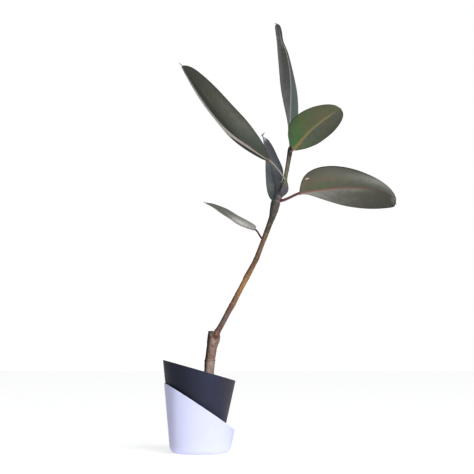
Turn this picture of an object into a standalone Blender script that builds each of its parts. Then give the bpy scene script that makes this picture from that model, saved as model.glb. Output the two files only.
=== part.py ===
"""A young rubber plant in a dark inner pot, dropped into a white outer pot that is cut on the slant.

Lengths are in millimetres and angles in degrees, and each mesh is written in metres.
+X is to the right, +Y to the back and +Z up, from the middle of the outer pot's flat underside.
"""
import math

import bmesh
import bpy
from mathutils import Vector

MM = 0.001
# Clearance that is left between two pieces that touch.
GAP = 0.3
FRONT = Vector((0.0, -1.0, 0.0))
# Faces that meet at less than this angle are shaded as one smooth surface.
SMOOTH_BELOW = 40.0

# A pot is a leaning cone with round, level sections. Its centre moves by lean and its radius grows
# by flare for each millimetre of height. The rim is cut by a slanted plane, which is rim_height
# high over the origin and rises by rim_x and rim_y towards +X and +Y.
POT_SIDES = 48
OUTER_CORNER_STEPS = 4
INNER_CORNER_STEPS = 3
# Share of the wall by which each edge of the rim is cut back.
RIM_CHAMFER = 0.35
OUTER_POT = dict(foot=0.0, centre=0.0, radius=58.4, lean=0.0547, flare=0.149, corner=14.0,
                 wall=1.8, floor=2.5, rim_height=90.0, rim_x=-0.655, rim_y=-0.097)
INNER_POT = dict(foot=OUTER_POT["floor"] + GAP, centre=-8.0, radius=46.2, lean=0.056, flare=0.164,
                 corner=12.0, wall=1.5, floor=2.0, rim_height=160.9, rim_x=-0.284, rim_y=-0.02)
SOIL_TOP = 128.0
# The soil's surface from the wall inwards: distance from the wall, and drop under SOIL_TOP.
SOIL_LEVELS = ((0.0, 4.0), (6.0, 1.5), (22.0, 0.0))

# The stations of a limb are (x, y, z, radius), from its foot up.
TRUNK_SIDES = 20
TRUNK = [
    (13.8, 0.0, SOIL_TOP + GAP, 12.4),
    (14.6, 0.0, 136.0, 11.0),
    (17.0, 0.0, 159.0, 10.1),
    (18.6, 0.0, 178.0, 10.3),
    (18.9, 0.0, 181.0, 10.9),
    (19.3, 0.0, 184.0, 10.4),
    (21.4, 0.0, 198.5, 10.3),
    (23.6, 0.0, 210.0, 11.2),
    (25.7, 0.0, 220.0, 12.6),
    (26.3, 0.0, 228.0, 12.5),
    (26.9, 0.0, 238.3, 12.0),
]
STEM_SIDES = 12
STEM_RING_SPACING = 7.0
# Halvings that find the place of a given height on the stem.
SEARCH_STEPS = 40
# The lowest stations of the stem stand in the trunk's socket.
SOCKET_STATIONS = 5
STEM = [
    (29.8, -7.8, 225.5, 5.0),
    (30.6, -7.8, 229.0, 7.0),
    (32.8, -7.0, 236.0, 6.5),
    (38.2, -5.2, 245.0, 5.6),
    (46.4, -3.6, 260.0, 5.4),
    (55.5, -3.0, 277.4, 5.5),
    (63.4, -3.5, 291.3, 5.8),
    (73.6, -3.5, 311.2, 5.3),
    (86.3, -2.5, 335.1, 5.2),
    (92.3, -1.5, 347.1, 5.8),
    (105.1, 1.0, 371.1, 5.0),
    (111.1, 2.0, 383.1, 5.3),
    (120.3, 3.0, 407.1, 4.9),
    (129.6, 3.0, 431.3, 5.3),
    (138.5, 2.0, 455.5, 5.7),
    (143.1, 1.5, 467.6, 6.7),
    (146.2, 1.0, 479.7, 8.4),
    (148.9, 0.5, 491.9, 9.4),
    (151.8, 0.0, 502.0, 9.1),
    (156.9, 0.0, 511.2, 8.1),
    (165.2, 0.0, 521.3, 9.9),
    (167.4, 0.0, 530.5, 8.2),
    (168.2, 0.0, 538.0, 5.6),
    (169.9, 0.0, 548.0, 4.1),
    (174.6, 0.0, 573.3, 4.4),
    (178.6, 0.0, 597.0, 5.0),
    (180.2, 0.0, 606.0, 5.0),
    (181.0, 0.0, 611.0, 2.6),
]

# A leaf is a petiole that runs on as the midrib, with a blade folded up along it.
#   foot        height on the stem, the direction (x, y) in which the petiole leaves it, and its
#               distance from the bark, which is more than GAP where the stem bends towards it
#   base, tip   ends of the midrib; drip is the spur past the tip, from the tip
#   handles     the midrib's two Bezier handles as (along, across, facing) shares of its length
#   roll        turn of the blade about its midrib, at the base, added half way, and at the tip;
#               a blade with no roll faces the front
#   fold        rise of each half of the blade, at the base and at the tip
#   shape       powers that round the outline towards the base and towards the tip
#   slim        share by which the right half is narrower at the base, and the share of the
#               midrib over which it regains its width
#   lobe        half width of a blunt end, how far that end bends to the right, and for the
#               neck below it the share of the width that it lacks and its shift to the right
LEAF_RING_POINTS = 12
BLADE_RINGS = 22
PETIOLE_RINGS = 7
# Reach of a petiole's two Bezier handles: a length, and a share of the petiole's own length.
REACH = 3.0
REACH_SHARE = 0.12
# A petiole is wider by this share where it meets the stem.
FOOT_FLARE = 0.2
# Share of the midrib over which the round petiole turns into the flat blade.
BLADE_START = 0.05
# Shares of the midrib at which a blunt end starts to bend and to round off, and its neck's.
BEND_START = 0.9
LOBE_START = 0.91
NECK_AT = 0.87
NECK_REACH = 0.045
# Share of the petiole's radius that the rib under the blade has lost at the tip.
RIB_TAPER = 0.72
# The rib's sides run out over this many of its radii.
RIB_SPREAD = 1.3
# A blade narrower than this many thicknesses is not folded.
FOLD_START = 4.0
# The higher these powers, the more squarely a blade ends at its margin and a blunt end at its tip.
MARGIN_POWER = 6
LOBE_POWER = 6
# Sections of the spur past the tip: share of the drip, and share of the last section's size.
LAST_SECTION = 0.999
DRIP_SECTIONS = ((0.0, 1.0), (0.5, 0.75), (1.0, 0.4))
LEAVES = {
    "leaf_top": dict(
        foot=(600.5, -10.0, 100.0, GAP), petiole=2.3,
        base=(181.5, 14.0, 611.0), tip=(152.5, 45.0, 878.7), drip=(-7.6, 1.0, 2.0),
        handles=((0.45, 0.033, 0.015), (0.594, 0.127, 0.0)),
        roll=(234.3, -24.5, 145.2), fold=(55.0, 40.0), half_width=24.9, shape=(0.754, 0.806), thick=2.8,
        lobe=(9.6, 4.4, 0.2, -2.7)),
    "leaf_upper_right": dict(
        foot=(599.5, 30.0, -95.0, GAP), petiole=2.2,
        base=(185.0, -28.0, 598.9), tip=(272.1, -105.0, 663.3), drip=(0.8, -3.0, 0.6),
        handles=((0.274, -0.011, 0.015), (0.362, -0.09, 0.032)),
        roll=(142.7, -6.2, 162.0), fold=(24.4, 10.2), half_width=41.5, shape=(0.479, 0.457), thick=2.0),
    "leaf_right": dict(
        foot=(502.4, 90.0, -42.0, 0.7), petiole=2.6,
        base=(196.7, -20.0, 511.6), tip=(380.8, -70.0, 483.7), drip=(2.0, -1.0, -4.0),
        handles=((0.45, -0.121, 0.019), (0.951, -0.201, -0.008)),
        roll=(124.5, 14.3, 207.1), fold=(43.0, 43.0), half_width=53.0, shape=(0.269, 0.708), thick=2.4),
    "leaf_upper_left": dict(
        foot=(543.0, -20.0, -98.0, 0.6), petiole=1.6,
        base=(137.1, -28.0, 576.2), tip=(-36.6, -50.0, 763.2), drip=(-7.5, -1.0, 6.5),
        handles=((0.29, -0.08, -0.004), (0.5, -0.09, -0.029)),
        roll=(-28.0, -6.0, -53.5), fold=(26.5, 18.5), half_width=46.0, shape=(0.78, 0.49), thick=2.8),
    "leaf_young": dict(
        foot=(492.5, -40.0, -91.5, 0.45), petiole=2.0,
        base=(147.1, -17.0, 499.5), tip=(126.9, 16.0, 632.2), drip=(1.5, 0.0, 6.0),
        handles=((0.492, 0.112, -0.15), (0.651, -0.006, 0.0)), slim=(0.42, 0.34),
        roll=(35.8, -25.3, -48.2), fold=(20.3, 27.3), half_width=21.0, shape=(0.346, 0.391), thick=1.6),
    "leaf_lower_left": dict(
        foot=(422.0, -80.0, -60.0, GAP), petiole=1.8,
        base=(107.5, -20.0, 438.9), tip=(9.5, -50.0, 488.1), drip=(-4.0, -0.5, 2.2),
        handles=((0.35, -0.08, -0.005), (0.73, 0.051, -0.002)),
        roll=(-111.0, 4.5, -115.0), fold=(13.0, 13.5), half_width=19.0, shape=(0.32, 0.81), thick=1.6),
}


def clear_scene():
    for item in list(bpy.data.objects):
        bpy.data.objects.remove(item, do_unlink=True)


def make_material(name, colour, roughness, metallic=0.0):
    material = bpy.data.materials.new(name)
    material.use_nodes = True
    shader = material.node_tree.nodes["Principled BSDF"]
    shader.inputs["Base Color"].default_value = (*colour, 1.0)
    shader.inputs["Roughness"].default_value = roughness
    shader.inputs["Metallic"].default_value = metallic
    return material


def skin(name, rings, material):
    """Join a row of rings with the same number of points, and close the first and the last."""
    mesh_maker = bmesh.new()
    rows = [[mesh_maker.verts.new(point * MM) for point in ring] for ring in rings]
    for lower, upper in zip(rows, rows[1:]):
        for i, corner in enumerate(lower):
            j = (i + 1) % len(lower)
            mesh_maker.faces.new((corner, lower[j], upper[j], upper[i]))
    mesh_maker.faces.new(list(reversed(rows[0])))
    mesh_maker.faces.new(rows[-1])
    bmesh.ops.recalc_face_normals(mesh_maker, faces=mesh_maker.faces)
    mesh = bpy.data.meshes.new(name)
    mesh_maker.to_mesh(mesh)
    mesh_maker.free()
    mesh.materials.append(material)
    mesh.shade_smooth()
    mesh.set_sharp_from_angle(angle=math.radians(SMOOTH_BELOW))
    piece = bpy.data.objects.new(name, mesh)
    bpy.context.scene.collection.objects.link(piece)
    return piece


# Pots and soil

def pot_ring(pot, inset, height_at):
    """A ring of the cone, inset from the outer face, at the height given for each generator."""
    ring = []
    for i in range(POT_SIDES):
        turn = 2.0 * math.pi * i / POT_SIDES
        z = height_at(math.cos(turn), math.sin(turn), inset)
        radius = pot["radius"] + pot["flare"] * z - inset
        centre = pot["centre"] + pot["lean"] * z
        ring.append(Vector((centre + radius * math.cos(turn), radius * math.sin(turn), z)))
    return ring


def rim_height(pot, cos_turn, sin_turn, inset):
    """Height at which the cone's generator at this turn meets the slanted plane of the rim."""
    radius = pot["radius"] - inset
    start = pot["rim_height"] + pot["rim_x"] * (pot["centre"] + radius * cos_turn)
    start += pot["rim_y"] * radius * sin_turn
    growth = pot["rim_x"] * (pot["lean"] + pot["flare"] * cos_turn)
    growth += pot["rim_y"] * pot["flare"] * sin_turn
    return start / (1.0 - growth)


def corner_rings(pot, inset, foot, corner, steps):
    """Rings of the rounded corner between a floor at foot and the wall, from the floor up."""
    rings = []
    for k in range(steps + 1):
        turn = 0.5 * math.pi * k / steps
        height = foot + corner * (1.0 - math.cos(turn))
        side = inset + corner * (1.0 - math.sin(turn))
        rings.append(pot_ring(pot, side, lambda c, s, d, z=height: z))
    return rings


def make_pot(name, pot, material):
    wall = pot["wall"]
    outside = corner_rings(pot, 0.0, pot["foot"], pot["corner"], OUTER_CORNER_STEPS)
    inner_corner = pot["corner"] - wall
    floor_top = pot["foot"] + pot["floor"]
    inside = corner_rings(pot, wall, floor_top, inner_corner, INNER_CORNER_STEPS)
    lip = RIM_CHAMFER * wall

    def rim(drop):
        return lambda c, s, d: rim_height(pot, c, s, d) - drop

    rim_rings = [
        pot_ring(pot, 0.0, rim(lip)),
        pot_ring(pot, lip, rim(0.0)),
        pot_ring(pot, wall - lip, rim(0.0)),
        pot_ring(pot, wall, rim(lip)),
    ]
    return skin(name, outside + rim_rings + list(reversed(inside)), material)


def make_soil(material):
    """Soil that fills the inner pot, flat round the trunk and lower where it meets the wall."""
    wall = INNER_POT["wall"] + GAP
    foot = INNER_POT["foot"] + INNER_POT["floor"] + GAP
    rings = corner_rings(INNER_POT, wall, foot, INNER_POT["corner"] - wall, INNER_CORNER_STEPS)
    for from_wall, drop in SOIL_LEVELS:
        level = SOIL_TOP - drop
        rings.append(pot_ring(INNER_POT, wall + from_wall, lambda c, s, d, z=level: z))
    return skin("soil", rings, material)


# Trunk and stem

def level_ring(x, y, z, radius, sides):
    turns = [2.0 * math.pi * i / sides for i in range(sides)]
    return [Vector((x + radius * math.cos(a), y + radius * math.sin(a), z)) for a in turns]


def through_stations(stations, place):
    """Point and radius on the smooth curve through the stations, at place 0 to len - 1."""
    last = len(stations) - 1
    i = min(int(place), last - 1)
    t = place - i
    before, start, end, after = (
        Vector(stations[min(max(k, 0), last)]) for k in (i - 1, i, i + 1, i + 2))
    value = 2.0 * start + (end - before) * t
    value += (2.0 * before - 5.0 * start + 4.0 * end - after) * t * t
    value += (3.0 * start - before - 3.0 * end + after) * t * t * t
    return 0.5 * value


def limb_rings(stations, sides, spacing):
    """Round rings square to the curve through the stations, about spacing apart."""
    samples = [through_stations(stations, 0.0)]
    for i in range(len(stations) - 1):
        length = (Vector(stations[i + 1][:3]) - Vector(stations[i][:3])).length
        steps = max(1, round(length / spacing))
        samples += [through_stations(stations, i + k / steps) for k in range(1, steps + 1)]
    centres = [sample.to_3d() for sample in samples]
    across = FRONT.copy()
    rings = []
    for i, centre in enumerate(centres):
        along = centres[min(i + 1, len(centres) - 1)] - centres[max(i - 1, 0)]
        along.normalize()
        across = (across - along * across.dot(along)).normalized()
        other = along.cross(across)
        turns = [2.0 * math.pi * k / sides for k in range(sides)]
        radius = samples[i][3]
        rings.append([centre + radius * (math.cos(a) * across + math.sin(a) * other) for a in turns])
    return rings


def make_trunk(material):
    """The old trunk with its two flat cuts, and the socket from which the stem grows."""
    rings = [level_ring(*station, TRUNK_SIDES) for station in TRUNK]
    trunk = skin("trunk", rings, material)
    wide = [(x, y, z, radius + GAP) for x, y, z, radius in STEM[:SOCKET_STATIONS]]
    foot = Vector(wide[0][:3])
    grow = (Vector(wide[1][:3]) - foot).normalized()
    wide[0] = (*(foot - GAP * grow), wide[0][3])
    cutter = skin("trunk_socket", limb_rings(wide, 2 * STEM_SIDES, STEM_RING_SPACING), material)
    cutter.hide_render = True
    cutter.display_type = "WIRE"
    socket = trunk.modifiers.new("socket", "BOOLEAN")
    socket.operation = "DIFFERENCE"
    socket.solver = "EXACT"
    socket.object = cutter
    return trunk


def stem_surface(height, toward_x, toward_y):
    """Point on the stem's side at this height, on the side given, and the way out of the bark."""
    low, high = 0.0, len(STEM) - 1.0
    for _ in range(SEARCH_STEPS):
        middle = 0.5 * (low + high)
        if through_stations(STEM, middle)[2] < height:
            low = middle
        else:
            high = middle
    step = 0.05
    below = through_stations(STEM, max(low - step, 0.0))
    above = through_stations(STEM, min(low + step, len(STEM) - 1.0))
    here = through_stations(STEM, low)
    run = above.to_3d() - below.to_3d()
    along = run.normalized()
    out = Vector((toward_x, toward_y, 0.0))
    out = (out - along * out.dot(along)).normalized()
    swell = (above[3] - below[3]) / run.length
    return here.to_3d() + here[3] * out, (out - swell * along).normalized()


# Leaves

def bezier(points, t):
    a, b, c, d = points
    u = 1.0 - t
    return u ** 3 * a + 3.0 * t * u * u * b + 3.0 * t * t * u * c + t ** 3 * d


def smooth_step(value):
    value = min(max(value, 0.0), 1.0)
    return value * value * (3.0 - 2.0 * value)


def blade_frame(leaf):
    """Chord of the midrib, and the directions across it and out of its front face."""
    chord = Vector(leaf["tip"]) - Vector(leaf["base"])
    ahead = chord.normalized()
    across = ahead.cross(FRONT).normalized()
    return chord, across, across.cross(ahead)


def midrib_points(leaf):
    chord, across, facing = blade_frame(leaf)
    length = chord.length
    base = Vector(leaf["base"])
    handles = [base + a * chord + length * (s * across + f * facing) for a, s, f in leaf["handles"]]
    return [base, *handles, Vector(leaf["tip"])]


def blade_ring(leaf, t, points):
    """Section of the blade at the share t of its midrib.

    Each point stands at a share of the half width and at half the thickness above or below the
    folded sheet. Near the base the section turns into the round petiole.
    """
    _, across, facing = blade_frame(leaf)
    roll_base, roll_middle, roll_tip = leaf["roll"]
    roll = math.radians(roll_base + (roll_tip - roll_base) * t + roll_middle * 4.0 * t * (1.0 - t))
    side = math.cos(roll) * across + math.sin(roll) * facing
    face = math.cos(roll) * facing - math.sin(roll) * across
    near, far = leaf["shape"]
    widest = near / (near + far)
    width = leaf["half_width"] * (t / widest) ** near * ((1.0 - t) / (1.0 - widest)) ** far
    blunt, bend, lack, shift = leaf.get("lobe", (0.0, 0.0, 0.0, 0.0))
    neck = math.exp(-((t - NECK_AT) / NECK_REACH) ** 2)
    width *= 1.0 - lack * neck
    past = max(t - LOBE_START, 0.0) / (1.0 - LOBE_START)
    if past > 0.0:
        width = max(width, blunt * math.sqrt(1.0 - past ** LOBE_POWER))
    rib = leaf["petiole"] * (1.0 - RIB_TAPER * t)
    half_width = math.hypot(width, rib)
    slim, regained = leaf.get("slim", (0.0, 1.0))
    right_width = rib + (half_width - rib) * (1.0 - slim * (1.0 - smooth_step(t / regained)))
    fold = leaf["fold"][0] + (leaf["fold"][1] - leaf["fold"][0]) * t
    folded_part = 1.0 - math.exp(-(width / (FOLD_START * leaf["thick"])) ** 2)
    fold = math.radians(fold) * folded_part
    round_part = 1.0 - smooth_step(t / BLADE_START)
    centre = bezier(points, t)
    centre.x += shift * neck + bend * smooth_step((t - BEND_START) / (1.0 - BEND_START))
    ring = []
    for i in range(LEAF_RING_POINTS):
        turn = 2.0 * math.pi * i / LEAF_RING_POINTS
        share, above = math.cos(turn), math.sin(turn)
        sheet = 0.5 * leaf["thick"] * (1.0 - share ** MARGIN_POWER)
        rise = math.copysign(sheet, above) if abs(above) > 1e-6 else 0.0
        if above < 0.0:
            rise -= max(rib - sheet, 0.0) * math.exp(-(share * half_width / (RIB_SPREAD * rib)) ** 2)
        rise += (rib * above - rise) * round_part
        out = math.copysign(1.0, share) if abs(share) > 1e-6 else 0.0
        reach = share * (right_width if share > 0.0 else half_width)
        run = reach * math.cos(fold) - out * rise * math.sin(fold)
        lift = abs(reach) * math.sin(fold)
        lift += rise * (math.cos(fold) if out else 1.0)
        ring.append(centre + run * side + lift * face)
    return ring


def petiole_rings(leaf, points):
    """Round rings from the leaf's foot, square to the stem's bark, up to the blade."""
    height, toward_x, toward_y, clearance = leaf["foot"]
    bark, out = stem_surface(height, toward_x, toward_y)
    foot = bark + clearance * out
    base = points[0]
    reach = REACH + REACH_SHARE * (base - foot).length
    back = (points[1] - base).normalized()
    curve = [foot, foot + reach * out, base - reach * back, base]
    _, across, facing = blade_frame(leaf)
    roll = math.radians(leaf["roll"][0])
    side = math.cos(roll) * across + math.sin(roll) * facing
    rings = []
    step = 0.02
    for k in reversed(range(PETIOLE_RINGS)):
        t = k / PETIOLE_RINGS
        along = (bezier(curve, t + step) - bezier(curve, t)).normalized() if k else out
        side = (side - along * side.dot(along)).normalized()
        face = side.cross(along)
        radius = leaf["petiole"] * (1.0 + FOOT_FLARE * (1.0 - t) ** 4)
        turns = [2.0 * math.pi * i / LEAF_RING_POINTS for i in range(LEAF_RING_POINTS)]
        centre = bezier(curve, t)
        rings.append([centre + radius * (math.cos(a) * side + math.sin(a) * face) for a in turns])
    return list(reversed(rings))


def make_leaf(name, leaf, material):
    points = midrib_points(leaf)
    rings = petiole_rings(leaf, points)
    for k in range(BLADE_RINGS):
        t = 0.5 * (1.0 - math.cos(math.pi * k / BLADE_RINGS))
        rings.append(blade_ring(leaf, t, points))
    last = blade_ring(leaf, LAST_SECTION, points)
    middle = sum(last, Vector()) / len(last)
    drip = Vector(leaf["drip"])
    rings += [[middle + drip * far + (point - middle) * small for point in last]
              for far, small in DRIP_SECTIONS]
    return skin(name, rings, material)


def main():
    clear_scene()
    white = make_material("white_plastic", (0.80, 0.81, 0.87), 0.4)
    charcoal = make_material("charcoal_plastic", (0.035, 0.038, 0.06), 0.55)
    earth = make_material("potting_soil", (0.035, 0.024, 0.016), 0.95)
    bark = make_material("trunk_bark", (0.22, 0.16, 0.13), 0.8)
    young_bark = make_material("stem_bark", (0.20, 0.13, 0.08), 0.6)
    leaf_green = make_material("leaf_green", (0.09, 0.11, 0.075), 0.4)
    make_pot("pot_outer", OUTER_POT, white)
    make_pot("pot_inner", INNER_POT, charcoal)
    make_soil(earth)
    make_trunk(bark)
    skin("stem", limb_rings(STEM, STEM_SIDES, STEM_RING_SPACING), young_bark)
    for name, leaf in LEAVES.items():
        make_leaf(name, leaf, leaf_green)


main()
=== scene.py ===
"""Looks of a young rubber plant in two pots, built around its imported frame.

Lengths in the tables are in millimetres and angles in degrees; meshes are in metres. The tables
repeat the rules of the part's solids, so that each fine piece lies where its solid does.
"""
import math

import bpy
import mathutils
import numpy as np
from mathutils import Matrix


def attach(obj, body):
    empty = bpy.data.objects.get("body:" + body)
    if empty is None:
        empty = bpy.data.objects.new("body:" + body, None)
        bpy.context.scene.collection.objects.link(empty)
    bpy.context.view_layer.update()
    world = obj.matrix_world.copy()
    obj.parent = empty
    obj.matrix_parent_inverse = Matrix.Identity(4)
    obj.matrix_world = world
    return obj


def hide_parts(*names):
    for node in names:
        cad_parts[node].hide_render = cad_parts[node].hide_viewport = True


bl_info = {
    "name": "Potted Rubber Plant",
    "version": (1, 0, 0),
    "blender": (4, 5, 0),
    "location": "View3D > Sidebar > Rubber Plant",
    "description": "Builds the leaves, bark, soil and pots of a young rubber plant",
    "category": "Object",
}

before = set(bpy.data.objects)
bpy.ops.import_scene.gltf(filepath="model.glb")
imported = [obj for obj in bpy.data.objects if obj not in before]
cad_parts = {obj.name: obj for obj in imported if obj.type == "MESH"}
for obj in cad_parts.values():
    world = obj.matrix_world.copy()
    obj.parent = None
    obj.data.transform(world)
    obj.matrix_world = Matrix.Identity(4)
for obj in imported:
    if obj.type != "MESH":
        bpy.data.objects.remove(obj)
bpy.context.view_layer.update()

MM = 0.001
FRONT = np.array((0.0, -1.0, 0.0))

# The pots' cones, slanted rims and walls.
OUTER_POT = dict(foot=0.0, centre=0.0, radius=58.4, lean=0.0547, flare=0.149, corner=14.0,
                 wall=1.8, floor=2.5, rim_height=90.0, rim_x=-0.655, rim_y=-0.097)
INNER_POT = dict(foot=2.8, centre=-8.0, radius=46.2, lean=0.056, flare=0.164, corner=12.0,
                 wall=1.5, floor=2.0, rim_height=160.9, rim_x=-0.284, rim_y=-0.02)
OUTSIDE_CORNER_STEPS = 10
INSIDE_CORNER_STEPS = 8
WALL_ROWS = 40
LIP_STEPS = 12
SOIL_TOP = 128.0

# Stations (x, y, z, radius) of the trunk and of the stem.
TRUNK = np.array([
    (13.8, 0.0, 128.3, 12.4), (14.6, 0.0, 136.0, 11.0), (17.0, 0.0, 159.0, 10.1),
    (18.6, 0.0, 178.0, 10.3), (18.9, 0.0, 181.0, 10.9), (19.3, 0.0, 184.0, 10.4),
    (21.4, 0.0, 198.5, 10.3), (23.6, 0.0, 210.0, 11.2), (25.7, 0.0, 220.0, 12.6),
    (26.3, 0.0, 228.0, 12.5), (26.9, 0.0, 238.3, 12.0),
])
STEM = np.array([
    (29.8, -7.8, 225.5, 5.0), (30.6, -7.8, 229.0, 7.0), (32.8, -7.0, 236.0, 6.5),
    (38.2, -5.2, 245.0, 5.6), (46.4, -3.6, 260.0, 5.4), (55.5, -3.0, 277.4, 5.5),
    (63.4, -3.5, 291.3, 5.8), (73.6, -3.5, 311.2, 5.3), (86.3, -2.5, 335.1, 5.2),
    (92.3, -1.5, 347.1, 5.8), (105.1, 1.0, 371.1, 5.0), (111.1, 2.0, 383.1, 5.3),
    (120.3, 3.0, 407.1, 4.9), (129.6, 3.0, 431.3, 5.3), (138.5, 2.0, 455.5, 5.7),
    (143.1, 1.5, 467.6, 6.7), (146.2, 1.0, 479.7, 8.4), (148.9, 0.5, 491.9, 9.4),
    (151.8, 0.0, 502.0, 9.1), (156.9, 0.0, 511.2, 8.1), (165.2, 0.0, 521.3, 9.9),
    (167.4, 0.0, 530.5, 8.2), (168.2, 0.0, 538.0, 5.6), (169.9, 0.0, 548.0, 4.1),
    (174.6, 0.0, 573.3, 4.4), (178.6, 0.0, 597.0, 5.0), (180.2, 0.0, 606.0, 5.0),
    (181.0, 0.0, 611.0, 2.6),
])
STEM_SAMPLES = 4000

# Rings left by old leaves: height, rise of the ring, half its width, and a slant across the limb.
TRUNK_RINGS = ((181.0, 0.7, 1.0, 0.5), (184.6, -0.35, 0.5, 0.5), (203.0, 0.2, 0.8, -1.0),
               (160.0, 0.15, 0.9, 1.0), (229.5, 0.5, 1.2, -2.0), (233.0, -0.3, 0.7, -1.5))
STEM_RINGS = ((262.0, 0.15, 0.9, 1.0), (291.5, 0.5, 1.4, 2.0), (293.8, -0.2, 0.6, 2.0),
              (318.0, 0.15, 0.8, -1.0), (346.5, 0.5, 1.3, -2.0), (348.8, -0.2, 0.6, -2.0),
              (383.0, 0.45, 1.2, 1.5), (385.0, -0.2, 0.6, 1.5), (407.0, 0.15, 0.8, -1.0),
              (431.3, 0.35, 1.1, -1.5), (433.2, -0.2, 0.5, -1.5), (455.0, 0.2, 0.9, 1.0),
              (478.0, 0.3, 1.0, 1.5), (496.0, 0.45, 1.1, -2.5), (499.0, -0.3, 0.7, -2.5),
              (505.5, 0.4, 1.0, 2.5), (508.0, -0.3, 0.7, 2.5), (534.0, 0.3, 0.9, 1.0),
              (562.0, 0.2, 0.8, 0.5), (587.0, 0.2, 0.8, -0.5))

# Rule of the blades and petioles, as in the part. A spur stands in place of the drip: its run past
# the tip, its bend, and how far it swells.
RIB_TAPER = 0.72
RIB_SPREAD = 1.3
FOLD_START = 4.0
BLADE_START = 0.05
BEND_START = 0.9
LOBE_START = 0.91
NECK_AT = 0.87
NECK_REACH = 0.045
MARGIN_POWER = 6
LOBE_POWER = 6
REACH = 3.0
REACH_SHARE = 0.12
FOOT_FLARE = 0.2
LEAVES = {
    "leaf_top": dict(
        foot=(600.5, -10.0, 100.0), petiole=2.3,
        base=(181.5, 14.0, 611.0), tip=(152.5, 45.0, 878.7), drip=(-7.6, 1.0, 2.0),
        handles=((0.45, 0.033, 0.015), (0.594, 0.127, 0.0)),
        roll=(234.3, -24.5, 145.2), fold=(55.0, 40.0), half_width=24.9, shape=(0.754, 0.806), thick=2.8,
        lobe=(9.6, 4.4, 0.2, -2.7), spur=((-8.0, 1.0, 2.4), (0.5, 0.0, -0.8), 2.4)),
    "leaf_upper_right": dict(
        foot=(599.5, 30.0, -95.0), petiole=2.2,
        base=(185.0, -28.0, 598.9), tip=(272.1, -105.0, 663.3), drip=(0.8, -3.0, 0.6),
        handles=((0.274, -0.011, 0.015), (0.362, -0.09, 0.032)),
        roll=(142.7, -6.2, 162.0), fold=(24.4, 10.2), half_width=41.5, shape=(0.479, 0.457), thick=2.0),
    "leaf_right": dict(
        foot=(502.4, 90.0, -42.0), petiole=2.6,
        base=(196.7, -20.0, 511.6), tip=(380.8, -70.0, 483.7), drip=(2.0, -1.0, -4.0),
        handles=((0.45, -0.121, 0.019), (0.951, -0.201, -0.008)),
        roll=(124.5, 14.3, 207.1), fold=(43.0, 43.0), half_width=53.0, shape=(0.269, 0.708), thick=2.4),
    "leaf_upper_left": dict(
        foot=(543.0, -20.0, -98.0), petiole=1.6,
        base=(137.1, -28.0, 576.2), tip=(-36.6, -50.0, 763.2), drip=(-7.5, -1.0, 6.5),
        handles=((0.29, -0.08, -0.004), (0.5, -0.09, -0.029)),
        roll=(-28.0, -6.0, -53.5), fold=(26.5, 18.5), half_width=46.0, shape=(0.78, 0.49), thick=2.8),
    "leaf_young": dict(
        foot=(492.5, -40.0, -91.5), petiole=2.0,
        base=(147.1, -17.0, 499.5), tip=(126.9, 16.0, 632.2), drip=(1.5, 0.0, 6.0),
        handles=((0.492, 0.112, -0.15), (0.651, -0.006, 0.0)), slim=(0.42, 0.34),
        roll=(35.8, -25.3, -48.2), fold=(20.3, 27.3), half_width=21.0, shape=(0.346, 0.391), thick=1.6,
        spur=((-15.0, 0.0, 9.0), (18.0, 0.0, 1.0), 3.0)),
    "leaf_lower_left": dict(
        foot=(422.0, -80.0, -60.0), petiole=1.8,
        base=(107.5, -20.0, 438.9), tip=(9.5, -50.0, 488.1), drip=(-4.0, -0.5, 2.2),
        handles=((0.35, -0.08, -0.005), (0.73, 0.051, -0.002)),
        roll=(-111.0, 4.5, -115.0), fold=(13.0, 13.5), half_width=19.0, shape=(0.32, 0.81), thick=1.6),
}
NO_LOBE = (0.0, 0.0, 0.0, 0.0)
NOT_SLIM = (0.0, 1.0)

# Fineness of a leaf: points over each face, and sections of its petiole, blade and spur.
FACE_POINTS = 56
PETIOLE_SECTIONS = 36
BLADE_SECTIONS = 230
SPUR_SECTIONS = 24
# How far the fine leaf is drawn in from its solid, and how deep its petiole starts in the bark.
BLADE_INSET = 0.25
PETIOLE_INSET = 0.1
FOOT_DEPTH = 0.8
# Side veins lean and bow towards the tip, are shifted between the halves, fade in from the rib,
# and are lower on a blade that is narrower than the broad one.
VEIN_LEAN = 0.28
VEIN_BOW = 0.0035
VEIN_SHIFT = 0.35
VEIN_FADE = 6.0
BROAD_HALF_WIDTH = 45.0
GROOVE_DEPTH = 0.35
GROOVE_SPREAD = 0.8
WAVE_SHIFT = 0.19

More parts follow.
